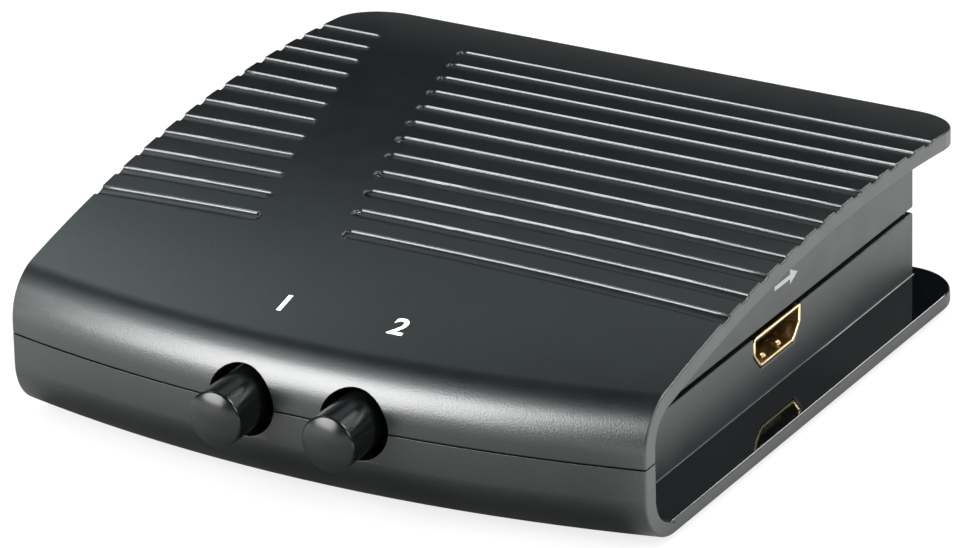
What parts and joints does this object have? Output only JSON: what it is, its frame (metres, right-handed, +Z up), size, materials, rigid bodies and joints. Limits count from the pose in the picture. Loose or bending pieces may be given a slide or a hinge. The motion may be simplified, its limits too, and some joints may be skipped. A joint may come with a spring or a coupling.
{
  "type": "video switch box",
  "caption": "Low black two-way video switch box with a ribbed, overhanging top plate, recessed side walls with sockets and push buttons in its bowed front.",
  "frame": {"origin": "middle of the footprint (buttons included) on the surface that the feet stand on", "axes": "+X to the right as seen from the buttons, +Y from the buttons to the rear edge, +Z up"},
  "size_m": [0.106, 0.1186, 0.0315],
  "materials": {
    "case_plastic": "fine spark-eroded satin black",
    "button_plastic": "smooth satin black",
    "foot_rubber": "matt",
    "screw_steel": "zinc plated",
    "board_laminate": "green solder mask",
    "chip_resin": "matt moulded",
    "tinned_leads": "tinned",
    "can_aluminium": "satin",
    "socket_gold": "gold plated",
    "insert_plastic": "satin",
    "contact_gold": "gold plated",
    "plunger_plastic": "natural acetal",
    "bridge_brass": "bright",
    "switch_plastic": "satin",
    "spring_steel": "bright wire"
  },
  "bodies": {
    "case": {"top_cover": "case_plastic", "base_cover": "case_plastic", "rubber_feet": "foot_rubber", "case_screws": "screw_steel", "main_board": "board_laminate", "board_screws": "screw_steel", "switch_chip": "chip_resin", "chip_leads": "tinned_leads", "capacitors": "can_aluminium", "resistors": "chip_resin", "output_shell": "socket_gold", "output_insert": "insert_plastic", "output_contacts": "contact_gold", "input_1_shell": "socket_gold", "input_1_insert": "insert_plastic", "input_1_contacts": "contact_gold", "input_2_shell": "socket_gold", "input_2_insert": "insert_plastic", "input_2_contacts": "contact_gold", "switch_1_housing": "switch_plastic", "switch_1_cover": "switch_plastic", "switch_1_spring": "spring_steel", "switch_1_terminals": "tinned_leads", "switch_2_housing": "switch_plastic", "switch_2_cover": "switch_plastic", "switch_2_spring": "spring_steel", "switch_2_terminals": "tinned_leads"},
    "button_1": {"button_1_cap": "button_plastic", "button_1_plunger": "plunger_plastic", "button_1_contact": "bridge_brass"},
    "button_2": {"button_2_cap": "button_plastic", "button_2_plunger": "plunger_plastic", "button_2_contact": "bridge_brass"}
  },
  "joints": [
    {"name": "button_1_push", "type": "slide", "parent": "case", "child": "button_1", "axis": [0, 1, 0], "range_m": [0, 0.003], "stiffness_N_per_m": 350, "springref_m": -0.003, "deforming": ["switch_1_spring"]},
    {"name": "button_2_push", "type": "slide", "parent": "case", "child": "button_2", "axis": [0, 1, 0], "range_m": [0, 0.003], "stiffness_N_per_m": 350, "springref_m": -0.003, "deforming": ["switch_2_spring"]}
  ]
}
